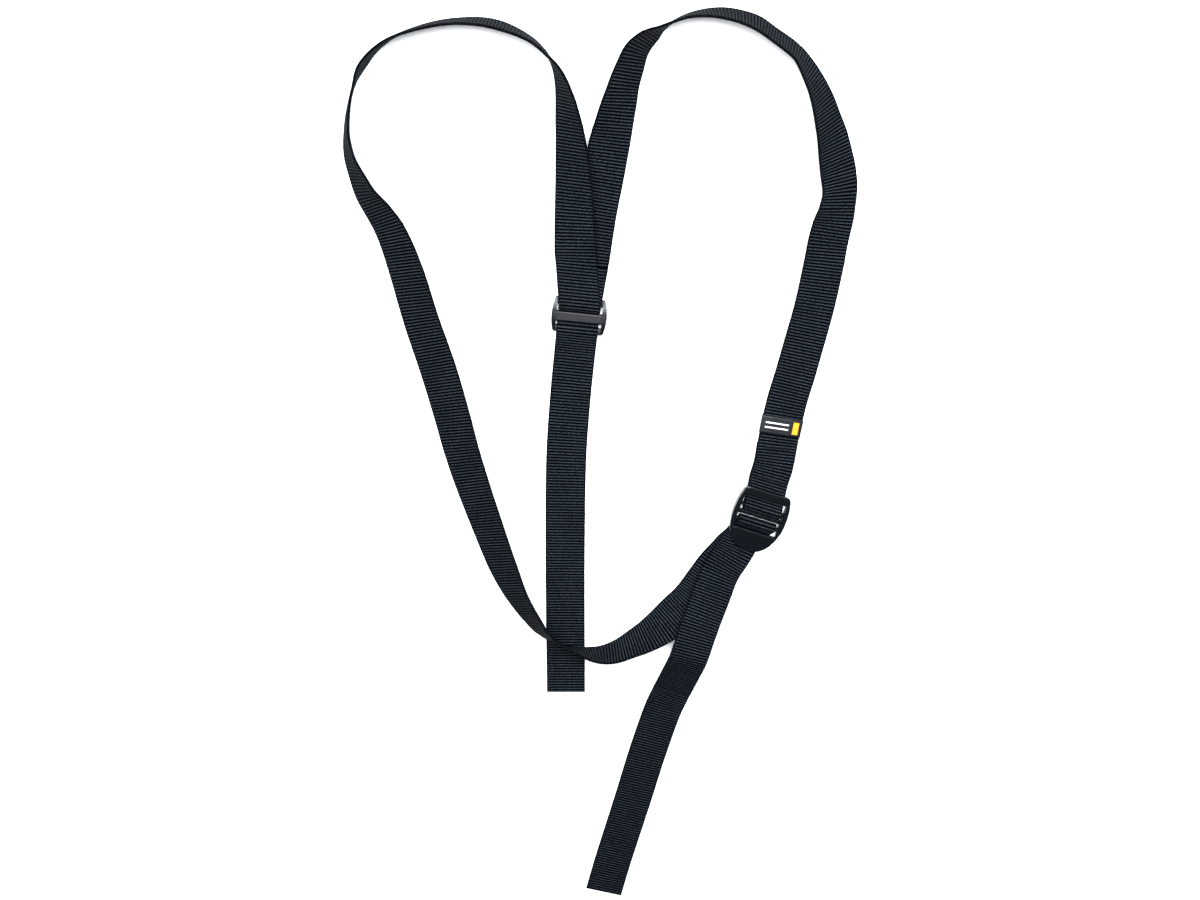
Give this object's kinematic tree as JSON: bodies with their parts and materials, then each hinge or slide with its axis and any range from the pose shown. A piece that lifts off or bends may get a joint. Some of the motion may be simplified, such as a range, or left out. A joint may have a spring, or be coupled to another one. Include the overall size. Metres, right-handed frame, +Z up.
{
  "type": "climbing chest harness",
  "caption": "Webbing chest harness with left and right shoulder loops, joined by a three-bar slide at the back and a ladder lock in front, with free tails.",
  "frame": {"origin": "middle of the laid-out harness's footprint, on the surface that it lies on", "axes": "+Y along the harness's length, from the free front tail up to the shoulder loops; +X to the side of the sewn right shoulder webbing; +Z up from the surface"},
  "size_m": [0.2992, 0.5926, 0.0265],
  "materials": {
    "webbing": "ribbed polyamide webbing, near-black navy",
    "slide": "moulded black acetal",
    "buckle": "moulded black acetal, satin",
    "label": "woven satin"
  },
  "bodies": {
    "root": {"long_webbing": "webbing", "front_tail": "webbing", "right_webbing": "webbing", "three_bar_slide": "slide", "ladder_lock": "buckle", "woven_label": "label"}
  },
  "joints": []
}
